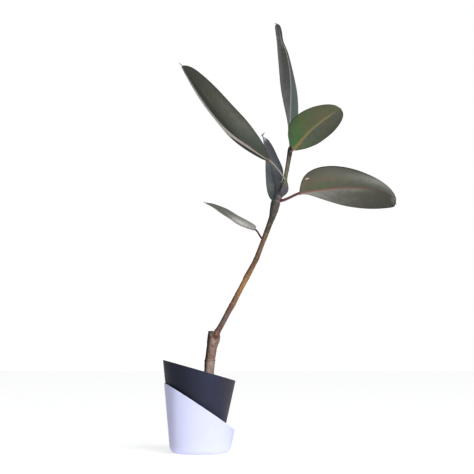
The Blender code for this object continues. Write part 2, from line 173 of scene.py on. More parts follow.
# Looks of each leaf, with screen colours. A half has a colour at its base, middle and tip, and
# near is the half at which a section starts. The dull share of each half lies by its margin and
# takes the margin's colour. A strip is where the far half keeps its own colours, as a share of
# its width towards the base and towards the tip; beside it the half is like the near one. A mark
# is a soft spot: its place along the leaf and in millimetres from the rib, the reach in both, its
# strength and its colour.
# Some marks and colours are painted light and shade: the pale grey marks on leaf_right, leaf_upper_left
# and leaf_lower_left are painted sheen, the dark mark by leaf_upper_left's rib is painted shade, and the
# pale bases of leaf_right's far half and of leaf_lower_left are partly painted sheen.
LEAF_LOOKS = {
    "leaf_top": dict(
        near=((150, 150, 149), (80, 79, 78), (58, 58, 56)),
        far=((88, 103, 99), (84, 92, 87), (55, 57, 53)),
        rib=((146, 150, 144), (140, 144, 138)), rib_width=(1.0, 0.8), dull=(0.5, 0.15),
        patch=(96, 92, 92), margin=(120, 120, 118), back=(90, 100, 84), petiole=(62, 54, 48),
        marks=((0.78, 4.0, 0.12, 5.0, 0.5, (62, 66, 54)), (0.97, 3.0, 0.04, 6.0, 0.6, (66, 64, 66)))),
    "leaf_upper_right": dict(
        near=((72, 108, 66), (80, 102, 62), (93, 98, 72)),
        far=((86, 108, 68), (88, 95, 78), (88, 90, 77)),
        rib=((148, 128, 82), (132, 124, 92)), rib_width=(3.6, 1.7), dull=(0.3, 0.5), mottle=1.6,
        patch=(98, 90, 72), margin=(56, 68, 46), back=(64, 76, 60), petiole=(124, 114, 102),
        marks=((0.66, 13.0, 0.14, 7.0, 0.5, (98, 84, 72)), (0.2, -6.0, 0.05, 4.0, 0.5, (136, 88, 60)),
               (0.52, 4.0, 0.05, 3.0, 0.35, (140, 100, 66)), (0.8, 3.0, 0.07, 4.0, 0.4, (128, 88, 66)),
               (0.33, -9.0, 0.07, 6.0, 0.5, (84, 104, 100)), (0.1, 10.0, 0.1, 9.0, 0.2, (66, 120, 80)),
               (0.62, -10.0, 0.05, 5.0, 0.45, (86, 98, 96)), (0.42, -16.0, 0.06, 5.0, 0.4, (88, 96, 84)),
               (0.45, 16.0, 0.1, 8.0, 0.5, (88, 110, 62)))),
    "leaf_right": dict(
        near=((98, 94, 78), (98, 99, 87), (112, 111, 105)),
        # The pale grey base of the far half is partly the leaf's tone and partly painted sheen.
        far=((134, 132, 124), (86, 85, 74), (68, 69, 61)),
        rib=((148, 96, 90), (86, 72, 64)), rib_width=(1.3, 1.1), dull=(0.55, 0.35),
        patch=(88, 96, 78), margin=(60, 63, 58), back=(92, 104, 82), petiole=(102, 62, 68),
        # Painted sheen: the pale grey marks (160, 160, 154), (140, 138, 130) and (150, 148, 140).
        marks=((0.64, 32.0, 0.26, 15.0, 0.75, (160, 160, 154)),
               (0.9, -5.0, 0.06, 7.0, 0.6, (140, 138, 130)), (0.42, -4.0, 0.14, 5.0, 0.4, (150, 148, 140)),
               (0.16, 10.0, 0.07, 8.0, 0.6, (86, 106, 68)), (0.2, 24.0, 0.1, 3.0, 0.5, (122, 96, 84)),
               (0.046, 27.0, 0.012, 1.1, 1.0, (244, 218, 204)))),
    "leaf_upper_left": dict(
        near=((52, 64, 53), (64, 70, 60), (60, 61, 54)),
        far=((178, 168, 162), (176, 170, 166), (150, 150, 147)), strip=(0.16, 0.88),
        rib=((104, 82, 62), (44, 43, 36)), rib_width=(1.2, 2.2), dull=(0.15, 0.02),
        patch=(62, 64, 53), margin=(56, 58, 50), back=(84, 94, 78), petiole=(156, 144, 134),
        # Painted sheen: the two pale marks; painted shade: the dark mark by the rib.
        marks=((0.5, 30.0, 0.3, 15.0, 0.35, (122, 121, 108)), (0.76, 8.0, 0.08, 5.0, 0.35, (92, 90, 72)),
               (0.45, 4.0, 0.3, 6.0, 0.5, (48, 53, 46)))),
    "leaf_young": dict(
        near=((78, 82, 88), (83, 89, 95), (80, 75, 86)),
        far=((70, 79, 77), (104, 109, 112), (112, 112, 116)),
        rib=((48, 48, 48), (118, 114, 108)), rib_width=(1.8, 1.2), dull=(0.3, 0.1),
        patch=(92, 94, 100), margin=(58, 58, 66), back=(88, 90, 92), petiole=(76, 74, 74),
        marks=((0.3, -4.0, 0.2, 2.0, 0.6, (56, 66, 64)), (0.97, 0.0, 0.03, 4.0, 0.8, (206, 208, 216)))),
    "leaf_lower_left": dict(
        # The pale grey bases of both halves are partly the leaf's tone and partly painted sheen.
        near=((138, 134, 130), (108, 106, 101), (112, 110, 104)),
        far=((150, 148, 143), (112, 111, 104), (106, 105, 98)),
        rib=((84, 70, 62), (66, 62, 54)), rib_width=(0.8, 0.7), dull=(0.3, 0.15), mottle=0.3,
        patch=(120, 118, 108), margin=(62, 52, 46), back=(96, 98, 84), petiole=(76, 58, 52),
        # Painted sheen: the whitish mark near the base.
        marks=((0.27, -1.0, 0.18, 9.0, 0.65, (228, 226, 223)),)),
}
# Shares of the midrib at which the halves have their three colours.
HALF_PLACES = (0.08, 0.5, 0.92)

# The young bark's screen colours by height, and its pale rings: height and strength.
STEM_COLOURS = (
    (226, (108, 78, 66)), (244, (112, 86, 74)), (262, (112, 94, 86)), (284, (118, 88, 74)),
    (300, (136, 102, 76)), (332, (158, 122, 80)), (362, (116, 84, 56)), (392, (108, 86, 64)),
    (422, (120, 100, 84)), (453, (64, 60, 53)), (483, (84, 82, 78)), (505, (90, 88, 90)),
    (525, (90, 88, 96)), (538, (108, 110, 90)), (556, (112, 116, 90)), (580, (96, 96, 84)),
    (598, (62, 58, 50)), (611, (62, 57, 48)))
STEM_MARKS = ((293.5, 0.3), (348.5, 0.25), (384.8, 0.2), (433.0, 0.2), (498.5, 0.5), (507.8, 0.5))

# Stains and painted shadow on the front of the trunk's top: x, height, reach, strength and
# screen colour. The dark red spots round the shoot's foot are painted shadow under the shoot.
STAIN_AND_SHADOW_DEPTH = -12.0
KNOT_BROWN = (88, 66, 58)
TRUNK_STAINS_AND_SHADOWS = (
    (16.0, 235.5, 6.5, 0.85, (78, 62, 74)), (19.5, 232.0, 3.0, 0.8, (182, 176, 178)),
    (15.0, 227.5, 5.0, 0.75, (70, 56, 60)), (25.0, 235.0, 4.5, 0.8, (84, 80, 54)),
    # Painted shadow under the shoot: the dark red spots on this line and the next.
    (26.5, 228.5, 4.0, 0.6, (96, 50, 46)), (29.5, 223.8, 3.4, 0.9, (84, 34, 36)),
    (35.0, 222.5, 3.0, 0.6, (92, 44, 42)), (22.0, 239.0, 6.0, 0.5, (96, 92, 84)),
    (23.5, 217.5, 4.5, 0.5, (186, 166, 160)), (16.5, 216.5, 2.6, 0.6, KNOT_BROWN),
    (20.0, 211.5, 2.4, 0.6, KNOT_BROWN), (25.0, 209.0, 2.4, 0.6, KNOT_BROWN),
    (30.5, 213.0, 2.6, 0.6, KNOT_BROWN))


def srgb(red, green, blue):
    """Linear colour of a screen colour given in 0 to 255."""
    shares = np.array((red, green, blue)) / 255.0
    linear = np.where(shares <= 0.04045, shares / 12.92, ((shares + 0.055) / 1.055) ** 2.4)
    return tuple(float(value) for value in linear)


# Shader expressions

class Signal:
    """A socket that takes part in a Python expression; each step adds one Math node."""

    def __init__(self, paint, socket):
        self.paint = paint
        self.socket = socket

    def math(self, operation, *values):
        return self.paint.add("ShaderNodeMath", dict(enumerate(values)), {"operation": operation})

    def sine(self):
        return self.math("SINE", self)

    def step(self, low, high):
        """0 below low and 1 above high, with a smooth rise between; low may be the larger."""
        smooth = {"interpolation_type": "SMOOTHSTEP"}
        return self.paint.add("ShaderNodeMapRange", {0: self, 1: low, 2: high}, smooth)

    def bell(self, width=1.0):
        """1 at 0, falling to 0 on both sides over about the width."""
        return math.e ** (0.0 - (self / width) ** 2.0)


def overload(symbol, operation):
    """Give Signal an operator and its reflected form, so that 1 - mask works too."""
    setattr(Signal, f"__{symbol}__", lambda self, other: self.math(operation, self, other))
    setattr(Signal, f"__r{symbol}__", lambda self, other: self.math(operation, other, self))


for symbol_and_operation in (("add", "ADD"), ("sub", "SUBTRACT"), ("mul", "MULTIPLY"),
                             ("truediv", "DIVIDE"), ("pow", "POWER")):
    overload(*symbol_and_operation)


class Paint:
    """A material under construction, with one Principled shader."""

    def __init__(self, name, constants):
        self.material = bpy.data.materials.new(name)
        self.material.use_nodes = True
        self.tree = self.material.node_tree
        self.shader = self.tree.nodes["Principled BSDF"]
        self.feed(constants)

    def feed(self, values):
        for name, value in values.items():
            self.put(self.shader.inputs[name], value)

    def put(self, socket, value):
        if isinstance(value, Signal):
            self.tree.links.new(value.socket, socket)
        elif isinstance(value, (int, float)):
            socket.default_value = value
        elif socket.type == "RGBA":
            socket.default_value = (*value[:3], 1.0)
        else:
            socket.default_value = value

    def add(self, kind, values=None, settings=None, output=0):
        """A node of this type, its settings made first, then its sockets; returns its output."""
        node = self.tree.nodes.new(kind)
        for name, value in (settings or {}).items():
            if name == "stops":
                self.set_ramp(node.color_ramp, value)
            else:
                setattr(node, name, value)
        for key, value in (values or {}).items():
            self.put(node.inputs[key], value)
        return Signal(self, node.outputs[output])

    @staticmethod
    def set_ramp(ramp, stops):
        ramp.elements[0].position = stops[0][0]
        ramp.elements[1].position = stops[-1][0]
        for place, _ in stops[1:-1]:
            ramp.elements.new(place)
        for element, (_, colour) in zip(ramp.elements, stops):
            element.color = (*colour, 1.0)

    def place(self):
        return self.add("ShaderNodeTexCoord", output="Object")

    def along_axis(self, axis):
        return self.add("ShaderNodeSeparateXYZ", {0: self.place()}, output=axis)

    def attribute(self, name):
        return self.add("ShaderNodeAttribute", None, {"attribute_name": name}, "Fac")

    def pattern(self, kind, size, stretch, **values):
        """Texture whose features are about the size in metres, drawn out by the stretch."""
        scale = tuple(1.0 / (size * part) for part in stretch)
        at = self.add("ShaderNodeMapping", {"Vector": self.place(), "Scale": scale})
        return self.add(kind, {"Vector": at, "Scale": 1.0, **values})

    def noise(self, size, detail, stretch=(1.0, 1.0, 1.0)):
        """Cloudy pattern from 0 to 1."""
        return self.pattern("ShaderNodeTexNoise", size, stretch, Detail=detail)

    def spots(self, size, stretch=(1.0, 1.0, 1.0)):
        """Distance to the nearest of many scattered points, in shares of the size."""
        return self.pattern("ShaderNodeTexVoronoi", size, stretch)

    def near_point(self, x, y, z, reach):
        """1 at a point given in millimetres, fading over the reach."""
        there = self.add("ShaderNodeVectorMath", {0: self.place(), 1: (x * MM, y * MM, z * MM)},
                         {"operation": "DISTANCE"}, "Value")
        return (there / (reach * MM)).bell()

    def mix(self, share, first, second):
        """The first colour where the share is 0 and the second where it is 1."""
        return self.add("ShaderNodeMix", {0: share, 6: first, 7: second}, {"data_type": "RGBA"}, 2)

    def coats(self, tone, *coats):
        """The tone under coats, each a share from 0 to 1 and the colour that it lays over."""
        for share, colour in coats:
            tone = self.mix(share, tone, colour)
        return tone

    def ramp(self, share, stops):
        """Screen colours at these places, smoothly joined."""
        stops = [(place, srgb(*colour)) for place, colour in stops]
        return self.add("ShaderNodeValToRGB", {0: share}, {"stops": stops})

    def finish(self, tone, roughness, height, distance, strength):
        """Link colour, roughness and a bump of this height; returns the material."""
        bump = self.add("ShaderNodeBump",
                        {"Height": height, "Distance": distance, "Strength": strength})
        self.feed({"Base Color": tone, "Roughness": roughness, "Normal": bump})
        return self.material


# Surfaces

def smooth_step(value):
    value = np.clip(value, 0.0, 1.0)
    return value * value * (3.0 - 2.0 * value)


def unit(vectors):
    return vectors / np.linalg.norm(vectors, axis=-1, keepdims=True)


def turns(sides):
    """Angles of the sides of a ring."""
    return 2.0 * np.pi * np.arange(sides) / sides


def ripple(points, size, seed):
    """Soft relief from about -1 to 1: a sum of sine waves in random directions, size apart."""
    waves = 20
    chance = np.random.default_rng(seed)
    directions = unit(chance.normal(size=(waves, 3)))
    lengths = size * chance.uniform(0.6, 1.6, waves)
    phases = chance.uniform(0.0, 2.0 * np.pi, waves)
    angles = np.tensordot(points, directions.T, 1) * (2.0 * np.pi / lengths) + phases
    return np.sin(angles).sum(-1) / math.sqrt(waves)


def through_stations(stations, samples):
    """Smooth curve through the stations, in even steps of their number.

    Between two stations it is the cubic that also heads along the chord of their neighbours.
    """
    last = len(stations) - 1
    places = np.linspace(0.0, float(last), samples)
    i = np.clip(places.astype(int), 0, last - 1)
    t = (places - i)[:, None]
    before, start, end, after = (stations[np.clip(i + k, 0, last)] for k in (-1, 0, 1, 2))
    value = 2.0 * start + (end - before) * t
    value += (2.0 * before - 5.0 * start + 4.0 * end - after) * t ** 2
    value += (3.0 * start - before - 3.0 * end + after) * t ** 3
    return 0.5 * value


def bezier(points, t):
    """Cubic Bezier curve through four points at the shares t."""
    t = np.asarray(t)[..., None]
    u = 1.0 - t
    a, b, c, d = points
    return u ** 3 * a + 3.0 * t * u * u * b + 3.0 * t * t * u * c + t ** 3 * d


def close_tube(name, rings, material, marks=None):
    """Closed mesh over a grid of rings (ring, point, xyz), with a fan over each end ring.

    The faces are turned outwards by the sign of the volume that they enclose. Each mark is an
    array (ring, point) that the material reads as an attribute.
    """
    count, around, _ = rings.shape
    grid = np.arange(count * around).reshape(count, around)
    beside = np.roll(grid, -1, axis=1)
    quads = np.stack([grid[:-1], beside[:-1], beside[1:], grid[1:]], -1).reshape(-1, 4)
    first, last = count * around, count * around + 1
    fans = np.concatenate([
        np.stack([beside[0], grid[0], np.full(around, first)], -1),
        np.stack([grid[-1], beside[-1], np.full(around, last)], -1),
    ])
    points = np.concatenate([rings.reshape(-1, 3), rings[[0, -1]].mean(axis=1)]) * MM
    halves = np.concatenate([quads[:, [0, 1, 2]], quads[:, [0, 2, 3]], fans])
    a, b, c = (points[halves[:, k]] for k in range(3))
    if np.einsum("ij,ij->", a, np.cross(b, c)) < 0.0:
        quads, fans = quads[:, ::-1], fans[:, ::-1]
    mesh = bpy.data.meshes.new(name)
    mesh.from_pydata(points.tolist(), [], quads.tolist() + fans.tolist())
    for mark, values in (marks or {}).items():
        layer = mesh.attributes.new(mark, "FLOAT", "POINT")
        ends = values[[0, -1]].mean(axis=1)
        layer.data.foreach_set("value", np.concatenate([values.ravel(), ends]).astype(np.float32))
    mesh.materials.append(material)
    mesh.shade_smooth()
    mesh.update()
    return link(bpy.data.objects.new(name, mesh))


def link(thing):
    bpy.context.scene.collection.objects.link(thing)
    return thing


def dress(piece, node):
    """Let the piece stand for a node of the frame: hang it on the root and hide the node."""
    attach(piece, "root")
    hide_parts(node)


# Pots and soil

def rim_height(pot, turn, inset):
    """Height at which the cone's side at this turn meets the slanted plane of the rim."""
    radius = pot["radius"] - inset
    start = pot["rim_height"] + pot["rim_x"] * (pot["centre"] + radius * np.cos(turn))
    start = start + pot["rim_y"] * radius * np.sin(turn)
    growth = pot["rim_x"] * (pot["lean"] + pot["flare"] * np.cos(turn))
    growth = growth + pot["rim_y"] * pot["flare"] * np.sin(turn)
    return start / (1.0 - growth)


def pot_ring(pot, turn, inset, z):
    """Points of the leaning cone at these heights, inset from its outer side."""
    radius = pot["radius"] + pot["flare"] * z - inset
    x = pot["centre"] + pot["lean"] * z + radius * np.cos(turn)
    return np.stack(np.broadcast_arrays(x, radius * np.sin(turn), z), -1)


def corner_profile(inset, foot, corner, steps):
    """Insets and heights of a quarter round between the floor at foot and the wall."""
    a = 0.5 * np.pi * np.arange(steps + 1) / steps
    return list(zip(inset + corner * (1.0 - np.sin(a)), foot + corner * (1.0 - np.cos(a))))


def pot_surface(name, pot, material, sides, skin):
    """Pot as one profile carried round: floor, rounded corner, wall, round lip, and back inside.

    The wall's rows share out the height between the corner and the slanted rim. The whole skin
    is drawn in by a hair, so that it stays inside its solid.
    """
    turn = turns(sides)
    wall = pot["wall"]
    half = 0.5 * wall - skin
    outside = corner_profile(skin, pot["foot"], pot["corner"], OUTSIDE_CORNER_STEPS)
    inside = corner_profile(
        wall - skin, pot["foot"] + pot["floor"], pot["corner"] - wall, INSIDE_CORNER_STEPS)
    rows, lip = [], []

    def add_row(inset, z, on_lip=0.0):
        rows.append(pot_ring(pot, turn, inset, z))
        lip.append(np.full(sides, on_lip))

    def add_wall(inset, foot, shares):
        top = rim_height(pot, turn, inset) - half - skin
        for share in shares:
            add_row(inset, foot + share * (top - foot))

    for inset, z in outside:
        add_row(inset, z)
    add_wall(skin, outside[-1][1], np.linspace(0.0, 1.0, WALL_ROWS)[1:])
    for a in np.pi * np.arange(1, LIP_STEPS) / LIP_STEPS:
        inset = skin + half * (1.0 - math.cos(a))
        top = rim_height(pot, turn, inset) - skin
        add_row(inset, top - half * (1.0 - math.sin(a)), math.sin(a))
    add_wall(wall - skin, inside[-1][1], np.linspace(1.0, 0.0, WALL_ROWS))
    for inset, z in inside[-2::-1]:
        add_row(inset, z)
    return close_tube(name, np.array(rows), material, {"lip": np.array(lip)})


def soil_surface(material, relief):
    """Soil as rings from the pot's wall to its middle.

    The height is the soil's level, lower at the wall, with ripples for clods and crumbs that
    fade towards the wall, and a low mound round the trunk's foot.
    """
    sides, rings, skirt, inset, hole = 320, 150, 20.0, 0.1, 0.3
    drop, drop_reach, fade = 4.0, 7.0, 4.0
    mound, mound_reach, sunk = 1.6, 20.0, 0.8
    turn = turns(sides)
    wall = INNER_POT["wall"] + inset
    middle = INNER_POT["radius"] + INNER_POT["flare"] * SOIL_TOP - hole
    rows = [pot_ring(INNER_POT, turn, wall, SOIL_TOP - skirt)]
    for from_side in np.linspace(wall, middle, rings):
        from_wall = from_side - wall
        level = SOIL_TOP - drop * math.exp(-from_wall / drop_reach)
        ring = pot_ring(INNER_POT, turn, from_side, level)
        clods = relief * (0.8 * ripple(ring, 14.0, 1) + 0.45 * ripple(ring, 5.0, 2) ** 2
                          + 0.35 * ripple(ring, 2.4, 3))
        away = np.hypot(ring[:, 0] - TRUNK[0, 0], ring[:, 1] - TRUNK[0, 1])
        rise = clods * smooth_step(from_wall / fade)
        ring[:, 2] += rise + mound * np.exp(-(away / mound_reach) ** 2) - sunk
        rows.append(ring)
    return close_tube("potting_soil", np.array(rows), material)


# Trunk and stem

def limb_rings(path, out, rise=0.0):
    """Rings about a path of points and radii, each point out by the radius and the rise."""
    return path[:, None, :3] + (path[:, None, 3:] + np.asarray(rise)[..., None]) * out


def ring_relief(height, angle, rings):
    """Rise of the bark from the rings of old leaves, each a bell along the limb with a slant."""
    rise = np.zeros(np.broadcast(height, angle).shape)
    for level, high, wide, slant in rings:
        rise += high * np.exp(-((height - level - slant * np.sin(angle)) / wide) ** 2)
    return rise


def shield(height, angle):
    """Mask of the shield-shaped scar under the shoot: wide at its top and pointed at its foot."""
    foot, length, turned, widest = 207.0, 18.0, math.radians(12.0), 0.85
    level = (height - foot) / length
    across = (angle - turned + np.pi) % (2.0 * np.pi) - np.pi
    half = widest * np.clip(level, 0.0, 1.0) ** 0.8 + 1e-3
    return smooth_step((1.0 - np.abs(across) / half) * 4.0) * smooth_step((1.0 - level) * 6.0 + 0.5)


def trunk_surface(material, roughness):
    """Old trunk: level rings about its curve, out by the bark's relief, closed by a cut top.

    The cut's face is rings that shrink to the last ring's middle, as a shallow dish inside a
    bevelled edge.
    """
    count, sides, inset, scar_rise = 300, 144, 0.3, 0.7
    drawn_out = np.array((1.0, 1.0, 0.22))
    cut_shares = (0.985, 0.96, 0.9, 0.8, 0.68, 0.55, 0.42, 0.3, 0.2, 0.12, 0.06)
    cut_rise, cut_dish, bevel = 0.35, 0.7, 0.25
    path = through_stations(TRUNK, count)
    angle = turns(sides)
    out = np.stack([np.sin(angle), -np.cos(angle), np.zeros(sides)], -1)
    round_points = limb_rings(path, out)
    stretched = round_points * drawn_out
    bark = 0.16 * ripple(stretched, 4.0, 4) + 0.1 * ripple(stretched, 1.8, 5)
    lumps = 0.3 * ripple(round_points, 18.0, 6)
    height = path[:, 2:3]
    rise = roughness * (bark + lumps) + ring_relief(height, angle, TRUNK_RINGS) - inset
    scar = shield(height, angle)
    rings = limb_rings(path, out, rise + scar_rise * scar)
    top, centre = rings[-1], path[-1, :3]
    caps = []
    for share in cut_shares:
        ring = centre + (top - centre) * share
        ring[:, 2] = centre[2] + cut_rise - cut_dish * (1.0 - share) ** 2
        ring[:, 2] -= bevel * (share == cut_shares[0])
        ring[:, 2] += 0.12 * ripple(ring, 5.0, 7)
        caps.append(ring)
    face = np.ones((len(caps), sides))
    marks = dict(
        cut=np.concatenate([0.0 * scar, face]),
        scar=np.concatenate([scar, 0.0 * face]),
        side=np.broadcast_to(np.sin(angle), (count + len(caps), sides)))
    return close_tube("old_trunk", np.concatenate([rings, caps]), material, marks)


def stem_surface(material, roughness):
    """Stem: rings square to its curve, out by fine wrinkles along it and by the leaves' rings."""
    count, sides, inset = 900, 56, 0.15
    drawn_out = np.array((1.0, 1.0, 0.2))
    path = through_stations(STEM, STEM_SAMPLES)
    run = np.concatenate([[0.0], np.cumsum(np.linalg.norm(np.diff(path[:, :3], axis=0), axis=1))])
    even = np.linspace(0.0, run[-1], count)
    path = np.stack([np.interp(even, run, path[:, k]) for k in range(4)], -1)
    along = unit(np.gradient(path[:, :3], axis=0))
    across = unit(FRONT - (along @ FRONT)[:, None] * along)
    other = np.cross(along, across)
    angle = turns(sides)
    out = np.cos(angle)[:, None] * across[:, None] + np.sin(angle)[:, None] * other[:, None]
    round_points = limb_rings(path, out)
    wrinkles = 0.09 * ripple(round_points * drawn_out, 3.0, 8) + 0.05 * ripple(round_points, 2.2, 9)
    rise = roughness * wrinkles + ring_relief(path[:, 2:3], angle, STEM_RINGS) - inset
    marks = dict(side=np.broadcast_to(np.sin(angle), (count, sides)),
                 level=np.broadcast_to(path[:, 2:3] * MM, (count, sides)))
    return close_tube("young_stem", limb_rings(path, out, rise), material, marks)


def bark_point(height, toward_x, toward_y):
    """Point on the stem's side at this height, and the way straight out of its bark."""
    apart = 8
    path = through_stations(STEM, STEM_SAMPLES)
    k = int(np.searchsorted(path[:, 2], height))
    run = path[k + apart] - path[k - apart]
    along = unit(run[:3])
    out = np.array((toward_x, toward_y, 0.0))
    out = unit(out - along * (out @ along))
    swell = run[3] / np.linalg.norm(run[:3])
    return path[k, :3] + path[k, 3] * out, unit(out - swell * along)


# Leaves

def leaf_frame(leaf):
    """Ends and handles of the midrib, and the directions across it and out of its front."""
    base, tip = np.array(leaf["base"]), np.array(leaf["tip"])
    chord = tip - base
    length = np.linalg.norm(chord)
    across = unit(np.cross(unit(chord), FRONT))
    facing = np.cross(across, unit(chord))
    handles = [base + a * chord + length * (s * across + f * facing) for a, s, f in leaf["handles"]]
    return [base, *handles, tip], across, facing, length


def blade_width(leaf, t, share, neck):
    """Width of the blade's outline, radius of its rib, and half width that takes in both.

    The width is a product of two powers, of the way from the base and of the way to the tip,
    unless a blunt lobe is wider at the end; a neck draws it in. A slim right half regains its
    width from the base up.
    """
    near, far = leaf["shape"]
    widest = near / (near + far)
    width = leaf["half_width"] * (t / widest) ** near * ((1.0 - t) / (1.0 - widest)) ** far
    blunt, _, lack, _ = leaf.get("lobe", NO_LOBE)
    width = width * (1.0 - lack * neck)
    past = np.clip((t - LOBE_START) / (1.0 - LOBE_START), 0.0, 1.0)
    width = np.where(past > 0.0, np.maximum(width, blunt * np.sqrt(1.0 - past ** LOBE_POWER)), width)
    rib = leaf["petiole"] * (1.0 - RIB_TAPER * t)
    half_width = np.hypot(width, rib) - BLADE_INSET
    slim, regained = leaf.get("slim", NOT_SLIM)
    right_width = rib + (half_width - rib) * (1.0 - slim * (1.0 - smooth_step(t / regained)))
    return width, rib, np.where(share > 0.0, right_width, half_width)


def blade_rings(leaf, t, share, upper, look):
    """Sections of the blade at the shares t of its midrib.

    A point stands at a share of the half width on a sheet that folds up along the midrib and
    rolls along it, raised or lowered by half the blade's thickness. A blunt lobe also bends to
    the right. The fold's crease is rounded, a rib runs under it and a groove over it, the side
    veins lift the sheet a little and the margin waves. Near the base the section turns into the
    round petiole.
    """
    points, across, facing, length = leaf_frame(leaf)
    centre = bezier(points, t)
    t, share, upper = t[:, None], share[None, :], upper[None, :]
    start, middle, end = leaf["roll"]
    roll = np.radians(start + (end - start) * t + middle * 4.0 * t * (1.0 - t))[..., None]
    side = np.cos(roll) * across + np.sin(roll) * facing
    face = np.cos(roll) * facing - np.sin(roll) * across
    turned = np.sign(face[len(t) // 2, 0] @ FRONT)
    neck = np.exp(-((t - NECK_AT) / NECK_REACH) ** 2)
    width, rib, half_width = blade_width(leaf, t, share, neck)
    fold = leaf["fold"][0] + (leaf["fold"][1] - leaf["fold"][0]) * t
    fold = np.radians(fold) * (1.0 - np.exp(-(width / (FOLD_START * leaf["thick"])) ** 2))
    round_part = 1.0 - smooth_step(t / BLADE_START)
    flat_part = 1.0 - round_part
    crease = np.sqrt(share ** 2 + look.crease ** 2)
    run_from_rib = np.abs(share) * half_width
    phase = (t * length - VEIN_LEAN * run_from_rib - VEIN_BOW * run_from_rib ** 2) / look.vein_spacing
    phase = phase + VEIN_SHIFT * np.sign(share)
    sheet = 0.5 * look.thickness * (1.0 - np.abs(share) ** MARGIN_POWER)
    bulge = np.maximum(rib - sheet, 0.0) * np.exp(-(run_from_rib / (RIB_SPREAD * rib)) ** 2)
    groove = GROOVE_DEPTH * rib * np.exp(-(run_from_rib / (GROOVE_SPREAD * rib)) ** 2)
    rise = np.where(upper >= 0.0, sheet, -sheet) - np.where(upper < 0.0, bulge, groove)
    rise = rise + (rib * upper - rise) * round_part
    fade = smooth_step(run_from_rib / VEIN_FADE) * (1.0 - np.abs(share) ** 4) * flat_part
    veins = look.vein_height * min(1.0, leaf["half_width"] / BROAD_HALF_WIDTH) ** 2
    rise = rise + veins * np.sin(2.0 * np.pi * phase) * fade
    n_run = -(share / crease) * np.sin(fold)
    n_lift = np.sqrt(1.0 - n_run ** 2)
    run = share * half_width * np.cos(fold) + rise * n_run
    lift = crease * half_width * np.sin(fold) * flat_part + rise * n_lift
    lift = lift + run_from_rib * np.sin(fold) * round_part
    wave = np.sin(2.0 * np.pi * (look.waves * t + WAVE_SHIFT * np.sign(share)))
    lift = lift + look.wave_height * wave * share ** 2 * 4.0 * t * (1.0 - t)
    _, bend, _, shift = leaf.get("lobe", NO_LOBE)
    centre[:, 0] += shift * neck[:, 0]
    centre[:, 0] += bend * smooth_step((t[:, 0] - BEND_START) / (1.0 - BEND_START))
    rings = centre[:, None] + run[..., None] * side + lift[..., None] * face
    flat = np.zeros(rise.shape)
    return rings, dict(
        along=flat + t, edge=flat + np.abs(share), from_rib=run_from_rib * np.sign(share) * MM,
        front=flat + (upper * turned >= 0.0), vein=phase)


def petiole_rings(leaf, share, upper):
    """Round sections along a Bezier curve from inside the stem's bark to the blade.

    The radius is the petiole's, wider at its foot.
    """
    points, across, facing, _ = leaf_frame(leaf)
    bark, out = bark_point(*leaf["foot"])
    base = points[0]
    reach = REACH + REACH_SHARE * np.linalg.norm(base - bark)
    back = unit(points[1] - base)
    curve = [bark - FOOT_DEPTH * out, bark + reach * out, base - reach * back, base]
    t = np.arange(PETIOLE_SECTIONS) / PETIOLE_SECTIONS
    centres = bezier(curve, np.linspace(0.0, 1.0, PETIOLE_SECTIONS + 1))
    tangent = unit(np.gradient(centres, axis=0))[:-1]
    roll = math.radians(leaf["roll"][0])
    side = math.cos(roll) * across + math.sin(roll) * facing
    side = unit(side - (tangent @ side)[:, None] * tangent)
    face = np.cross(side, tangent)
    radius = leaf["petiole"] * (1.0 + 1.6 * FOOT_FLARE * (1.0 - t) ** 5) - PETIOLE_INSET
    spread = share[None, :, None] * side[:, None] + upper[None, :, None] * face[:, None]
    rings = bezier(curve, t)[:, None] + radius[:, None, None] * spread
    flat = np.zeros((PETIOLE_SECTIONS, len(share)))
    return rings, dict(
        along=flat + (t - 1.0)[:, None], edge=flat, from_rib=flat, front=flat + 1.0, vein=flat)


def leaf_surface(name, leaf, material, look):
    """Leaf as one closed tube: petiole, blade and the thin spur past its tip.

    The points of a section lie closer by the rib than by the margins, and the blade's sections
    closer towards its ends. The spur shrinks as it follows the drip, bent by the hook.
    """
    p = np.linspace(-1.0, 1.0, FACE_POINTS + 1)
    ladder = 0.62 * p + 0.38 * p ** 3
    share = np.concatenate([ladder[::-1], ladder[1:-1]])
    upper = np.sqrt(1.0 - share ** 2)
    upper[FACE_POINTS + 1:] *= -1.0
    stalk, stalk_marks = petiole_rings(leaf, share, upper)
    k = np.arange(BLADE_SECTIONS) / BLADE_SECTIONS
    t = 0.5 * (1.0 - np.cos(np.pi * (0.82 * k + 0.18 * k ** 2)))
    blade, blade_marks = blade_rings(leaf, t, share, upper, look)
    last = blade[-1]
    middle = last.mean(axis=0)
    plain_spur = (np.array(leaf["drip"]) * 0.97, (0.0, 0.0, 0.0), 1.0)
    drip, hook, swell = leaf.get("spur", plain_spur)
    far = np.linspace(0.0, 1.0, SPUR_SECTIONS + 1)[1:]
    size = (1.0 + (swell - 1.0) * smooth_step(far * 2.0)) * (1.0 - 0.85 * far ** 4)
    path = middle + np.outer(far, drip) + np.outer(far ** 2, hook)
    spur = path[:, None] + (last - middle) * size[:, None, None]
    marks = {}
    for mark, values in blade_marks.items():
        end = np.repeat(values[-1:], SPUR_SECTIONS, axis=0)
        marks[mark] = np.concatenate([stalk_marks[mark], values, end])
    return close_tube(name, np.concatenate([stalk, blade, spur]), material, marks)


# Materials

